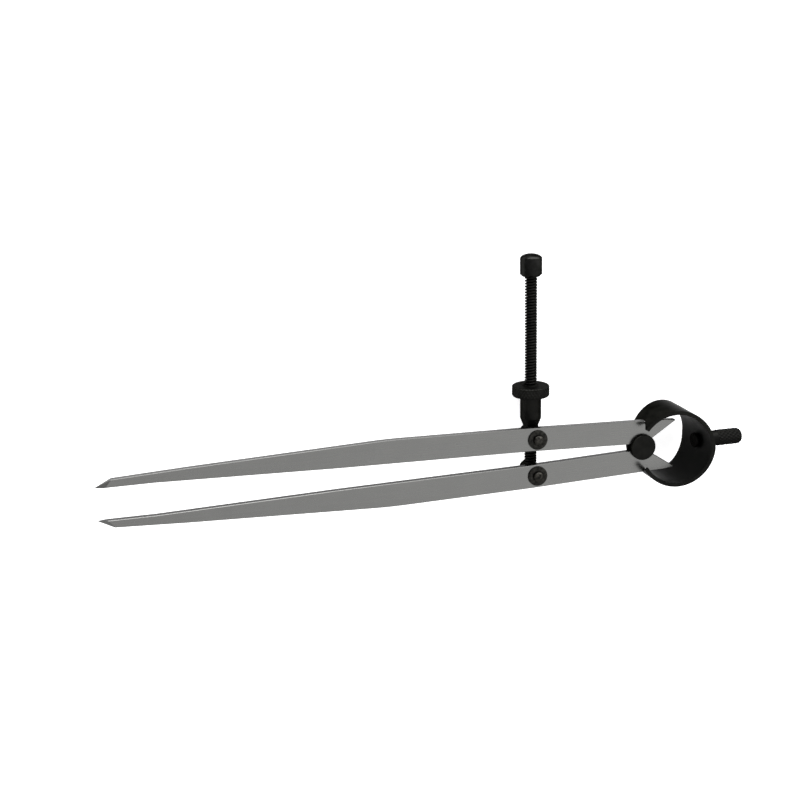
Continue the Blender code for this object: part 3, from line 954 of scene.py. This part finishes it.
worn_steel = blackened_steel("worn_blackened_steel", RUBBED, roughness=0.36, grain=0.0004, patch=0.0016)
worn_pin = blackened_steel("worn_pin_steel", RUBBED_PIN, roughness=0.34, grain=0.0004, patch=0.0022)
across = Matrix.Translation((0, 0, -SCREW_DEPTH))
for which, screw_gap, has_flat in (("upper", SWIVEL_GAP, True), ("lower", RUNNING_GAP, False)):
    post_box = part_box(f"swivel_post_{which}")
    middle = (post_box[0] + post_box[1]) / 2
    place = Matrix.Translation((middle.x, middle.y, LEG_PLANE))
    cuts = [rod(SCREW_RADIUS + screw_gap, 4 * POST_RADIUS, across @ Matrix.Rotation(QUARTER, 4, "X"))]
    if has_flat:
        flat_place = across @ Matrix.Translation((0, NUT_SEAT + POST_RADIUS / 2, 0))
        cuts.append(block((4 * POST_RADIUS, POST_RADIUS, NUT_FLAT_HEIGHT), flat_place))
    post = finish_piece(
        f"swivel_post_{which}_turned",
        boolean_cut(lathe(f"swivel_post_{which}_turned", softened(post_profile, POST_ROUNDING)), *cuts),
        black_turned,
        f"post_{which}",
        f"swivel_post_{which}",
        place=place,
        crease=30,
    )
    post.data.materials.append(worn_pin)
    for face in post.data.polygons:
        if face.center.z > LEG_PLANE + head_low - HEAD_MARGIN:
            face.material_index = 1
    finish_piece(
        f"washer_{which}_pressed",
        lathe(f"washer_{which}_pressed", washer_profile, loop=True),
        worn_steel,
        f"post_{which}",
        f"washer_{which}",
        place=place,
    )


# The adjusting screw is a rod with a rolled thread, 16 turns to the inch, over its whole length. Its end is
# fixed in the lower post, and it passes freely through the upper one. The thread's roots are painted darker,
# as painted shade in its grooves.
THREAD_PITCH = 0.0015875
THREAD_DEPTH = 0.00097
THREAD_CREST = 0.42
THREAD_ROOT = 0.12
THREAD_ROWS = 10
THREAD_STEPS = 40
# How dark the thread's roots are painted, as painted shade: a share of the crest's colour.
ROOT_PAINTED_SHADE = 0.25
SCREW_CHAMFER = 0.0005

THREAD_SUMS = (
    ("along", "DIVIDE", "z", "Pitch"),
    ("right-hand way", "SUBTRACT", "along", "turns"),
    ("half ridge", "PINGPONG", "right-hand way", 0.5),
    ("ridge", "MULTIPLY", "half ridge", 2.0),
    ("flats", "ADD", "Crest", "Root"),
    ("flanks", "SUBTRACT", 1.0, "flats"),
    ("above root", "SUBTRACT", "ridge", "Root"),
    ("up the flank", "DIVIDE", "above root", "flanks"),
    ("no less than root", "MAXIMUM", "up the flank", 0.0),
    ("height", "MINIMUM", "no less than root", 1.0),
    ("missing", "SUBTRACT", 1.0, "height"),
    ("cut", "MULTIPLY", "missing", "Depth"),
    ("outside", "SUBTRACT", "radius", "Inside"),
    ("room", "MAXIMUM", "outside", 0.0),
    ("sink", "MINIMUM", "cut", "room"),
)

screw_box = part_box("adjusting_screw")
screw_length = screw_box[1].y - screw_box[0].y
screw_axis = (screw_box[0] + screw_box[1]) / 2
screw_root = SCREW_RADIUS - THREAD_DEPTH
black_threaded = blackened_steel(
    "blackened_threaded_steel",
    BLACK_WORN,
    roughness=0.38,
    grain=0.0004,
    groove_shade=(screw_axis, SCREW_RADIUS, screw_root, ROOT_PAINTED_SHADE),
)
rod_profile = [
    (0.0, screw_length),
    (SCREW_RADIUS - SCREW_CHAMFER, screw_length),
    (SCREW_RADIUS, screw_length - SCREW_CHAMFER),
    (SCREW_RADIUS, SCREW_CHAMFER),
    (SCREW_RADIUS - SCREW_CHAMFER, 0.0),
    (0.0, 0.0),
]
rod_profile = filled(rod_profile, 0.0, screw_length, THREAD_PITCH / THREAD_ROWS)
thread_sizes = {"Pitch": THREAD_PITCH, "Depth": THREAD_DEPTH, "Crest": THREAD_CREST, "Root": THREAD_ROOT}
screw_mesh = worked(
    lathe("adjusting_screw_threaded", rod_profile, THREAD_STEPS),
    pressing_tree("screw_thread", {**thread_sizes, "Inside": screw_root}, THREAD_SUMS),
    Material=black_threaded,
)


def along_screw(box):
    """The place on the screw's axis of a piece turned about Z, with its foot at the near end of its box."""
    return Matrix.Translation((screw_axis.x, box[0].y, screw_axis.z)) @ Matrix.Rotation(-QUARTER, 4, "X")


finish_piece(
    "adjusting_screw_threaded",
    screw_mesh,
    black_threaded,
    "post_lower",
    "adjusting_screw",
    place=along_screw(screw_box),
    crease=60,
)


# The cap on the screw's free end is turned with a dome and a tapered mouth, and pressed on so that the nut
# can't run off.
CAP_RADIUS = 0.0060
CAP_DOME = 0.0027
CAP_DOME_STEPS = 14
CAP_TAPER = 0.0013
CAP_MOUTH_RADIUS = 0.0046
CAP_BORE_DEPTH = 0.0088
CAP_ROUNDING = 0.0002
CAP_WORN = "#2c2c2b"

black_smooth = blackened_steel("blackened_smooth_steel", CAP_WORN, roughness=0.24, grain=0.0006)
cap_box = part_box("screw_cap")
dome_base = cap_box[1].y - cap_box[0].y - CAP_DOME
bore_radius = SCREW_RADIUS + RUNNING_GAP
dome_angles = [QUARTER * i / CAP_DOME_STEPS for i in range(CAP_DOME_STEPS)]
dome = [(CAP_RADIUS * math.sin(a), dome_base + CAP_DOME * math.cos(a)) for a in dome_angles]
mouth = [
    (CAP_RADIUS, dome_base),
    (CAP_RADIUS, CAP_TAPER),
    (CAP_MOUTH_RADIUS, 0.0),
    (bore_radius, 0.0),
    (bore_radius, CAP_BORE_DEPTH),
    (0.0, CAP_BORE_DEPTH),
]
finish_piece(
    "screw_cap_turned",
    lathe("screw_cap_turned", dome + softened(mouth, CAP_ROUNDING)),
    black_smooth,
    "post_lower",
    "screw_cap",
    place=along_screw(cap_box),
)


# The adjusting nut is turned in one piece: an end that bears on the upper post, a taper, a long hub, and a
# wide flange that the fingers turn, with the handle's diamond knurl rolled round its rim.
NUT_END_RADIUS = 0.0043
NUT_END_LENGTH = 0.0019
NUT_TAPER_RADIUS = 0.0046
NUT_TAPER_LENGTH = 0.0033
NUT_HUB_RADIUS = 0.00585
NUT_HUB_LENGTH = 0.0127
NUT_FLANGE_RADIUS = 0.0104
NUT_FLANGE_THICKNESS = 0.0060
NUT_CHAMFER = 0.0005
NUT_BOSS_RADIUS = 0.0044
NUT_BOSS_HEIGHT = 0.0006
NUT_ROUNDING = 0.0002
NUT_STEPS_PER_TOOTH = 6
NUT_WORN = "#262624"

black_nut = blackened_steel("blackened_nut_steel", NUT_WORN, roughness=0.42, grain=0.0004)
nut_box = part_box("adjusting_nut")
hub = NUT_END_LENGTH + NUT_TAPER_LENGTH
flange = hub + NUT_HUB_LENGTH
flange_top = flange + NUT_FLANGE_THICKNESS
rim_inside = NUT_FLANGE_RADIUS - NUT_CHAMFER
nut_loop = [
    (bore_radius, flange_top + NUT_BOSS_HEIGHT),
    (NUT_BOSS_RADIUS, flange_top + NUT_BOSS_HEIGHT),
    (NUT_BOSS_RADIUS, flange_top),
    (rim_inside, flange_top),
    (NUT_FLANGE_RADIUS, flange_top - NUT_CHAMFER),
    (NUT_FLANGE_RADIUS, flange + NUT_CHAMFER),
    (rim_inside, flange),
    (NUT_HUB_RADIUS, flange),
    (NUT_HUB_RADIUS, hub),
    (NUT_TAPER_RADIUS, NUT_END_LENGTH),
    (NUT_END_RADIUS, NUT_END_LENGTH * 3 / 4),
    (NUT_END_RADIUS, 0.0),
    (bore_radius, 0.0),
]
nut_profile = softened(nut_loop + nut_loop[:2], NUT_ROUNDING, 2)[1:-1]
nut_profile = filled(nut_profile, flange, flange_top, KNURL_ALONG / KNURL_ROWS)
teeth = round(2 * math.pi * NUT_FLANGE_RADIUS / KNURL_AROUND)
nut_mesh = worked(
    lathe("adjusting_nut_knurled", nut_profile, teeth * NUT_STEPS_PER_TOOTH, loop=True),
    knurl,
    Teeth=float(teeth),
    From=flange,
    To=flange_top,
    Inside=rim_inside - KNURL_EDGE / 2,
    Material=black_nut,
)
finish_piece(
    "adjusting_nut_knurled",
    nut_mesh,
    black_nut,
    "nut",
    "adjusting_nut",
    place=along_screw(nut_box),
    crease=50,
)
